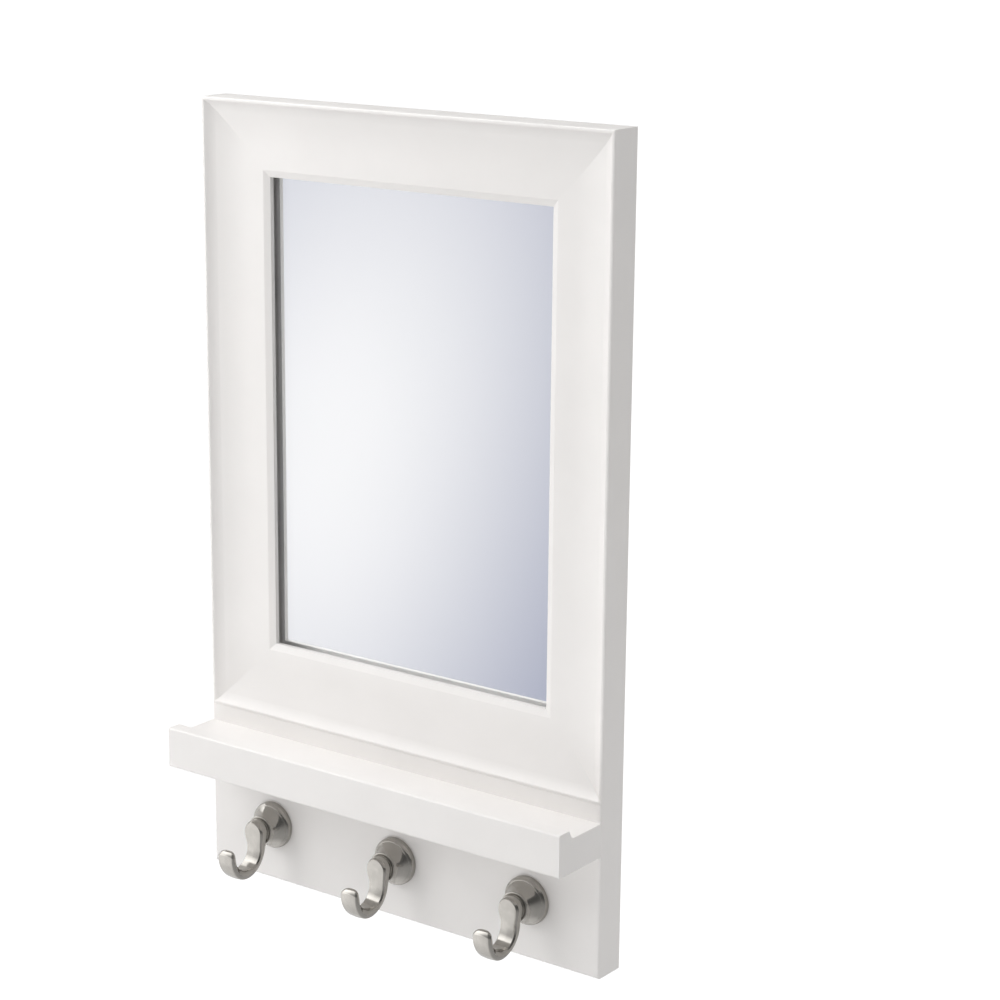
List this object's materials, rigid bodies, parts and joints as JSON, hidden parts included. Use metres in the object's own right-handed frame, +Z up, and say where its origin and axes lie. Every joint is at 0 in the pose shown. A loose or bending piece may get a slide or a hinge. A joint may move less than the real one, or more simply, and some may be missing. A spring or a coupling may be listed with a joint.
{
  "type": "mirror with key hooks",
  "caption": "Small wall mirror in a white coved frame, with a lipped shelf and satin nickel J hooks below it.",
  "frame": {"origin": "centre of the back, on the wall plane, halfway up the overall height", "axes": "+Z up, +Y into the wall, +X to the viewer's right, so the front faces -Y"},
  "size_m": [0.1728, 0.0399, 0.2844],
  "materials": {
    "painted_wood": "smooth satin white paint over MDF",
    "glass": "clear polished float glass",
    "silver": "silver coat seen through the glass, grey paint behind",
    "backing": "dense brown fibre board",
    "satin_nickel": "satin nickel plate with soft bright reflections",
    "zinc": "bright zinc plate",
    "dowel_wood": "plain beech"
  },
  "bodies": {
    "root": {"top_rail": "painted_wood", "bottom_rail": "painted_wood", "left_stile": "painted_wood", "right_stile": "painted_wood", "hook_board": "painted_wood", "shelf": "painted_wood", "mirror_glass": "glass", "silver_coat": "silver", "backing_board": "backing", "glazing_points": "zinc", "corner_nails": "zinc", "joint_dowels": "dowel_wood", "shelf_screws": "zinc", "left_keyhole_plate": "zinc", "right_keyhole_plate": "zinc", "keyhole_screws": "zinc", "left_rosette": "satin_nickel", "middle_rosette": "satin_nickel", "right_rosette": "satin_nickel", "left_hook_arm": "satin_nickel", "middle_hook_arm": "satin_nickel", "right_hook_arm": "satin_nickel", "hook_washers": "zinc", "hook_screws": "zinc"}
  },
  "joints": []
}
